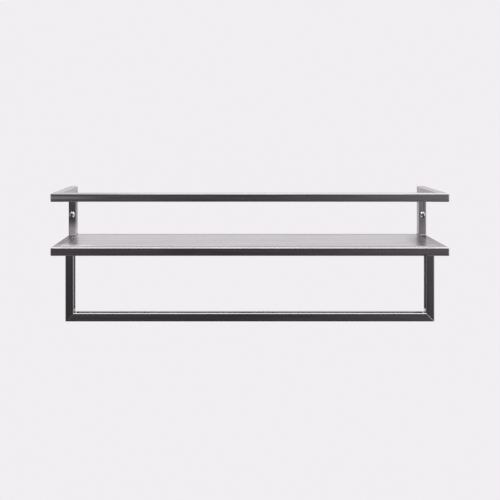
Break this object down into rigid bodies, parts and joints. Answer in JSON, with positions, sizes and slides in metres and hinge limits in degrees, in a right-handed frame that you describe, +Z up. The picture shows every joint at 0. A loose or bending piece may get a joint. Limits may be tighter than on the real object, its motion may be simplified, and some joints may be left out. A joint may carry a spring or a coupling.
{
  "type": "towel rack with shelf",
  "caption": "Wall-mounted rack of brushed square steel tube: a flush sheet shelf with a gallery rail above it and a towel bar hung below it.",
  "frame": {"origin": "on the wall plane, midway between the axes of the two wall screws", "axes": "+X along the shelf, to the right as seen from the room; +Y out of the back, towards the wall; +Z up"},
  "size_m": [0.6, 0.138, 0.1926],
  "materials": {
    "tube_steel": "burnished dark grey steel tube, long fine brushing, rounded edges",
    "plate_steel": "brushed sheet, grain along the shelf, bright satin",
    "weld_steel": "weld metal ground and brushed",
    "screw_steel": "bright polished screw"
  },
  "bodies": {
    "root": {"top_rail": "tube_steel", "rail_arm_left": "tube_steel", "rail_arm_right": "tube_steel", "upright_left": "tube_steel", "upright_right": "tube_steel", "shelf_front_bar": "tube_steel", "shelf_back_bar": "tube_steel", "shelf_side_bar_left": "tube_steel", "shelf_side_bar_right": "tube_steel", "towel_bar": "tube_steel", "towel_leg_left": "tube_steel", "towel_leg_right": "tube_steel", "shelf_plate": "plate_steel", "plate_seam_weld": "weld_steel", "rail_corner_welds": "weld_steel", "arm_corner_welds": "weld_steel", "upright_foot_welds": "weld_steel", "shelf_corner_welds": "weld_steel", "leg_top_welds": "weld_steel", "wall_screw_left": "screw_steel", "wall_screw_right": "screw_steel"}
  },
  "joints": []
}
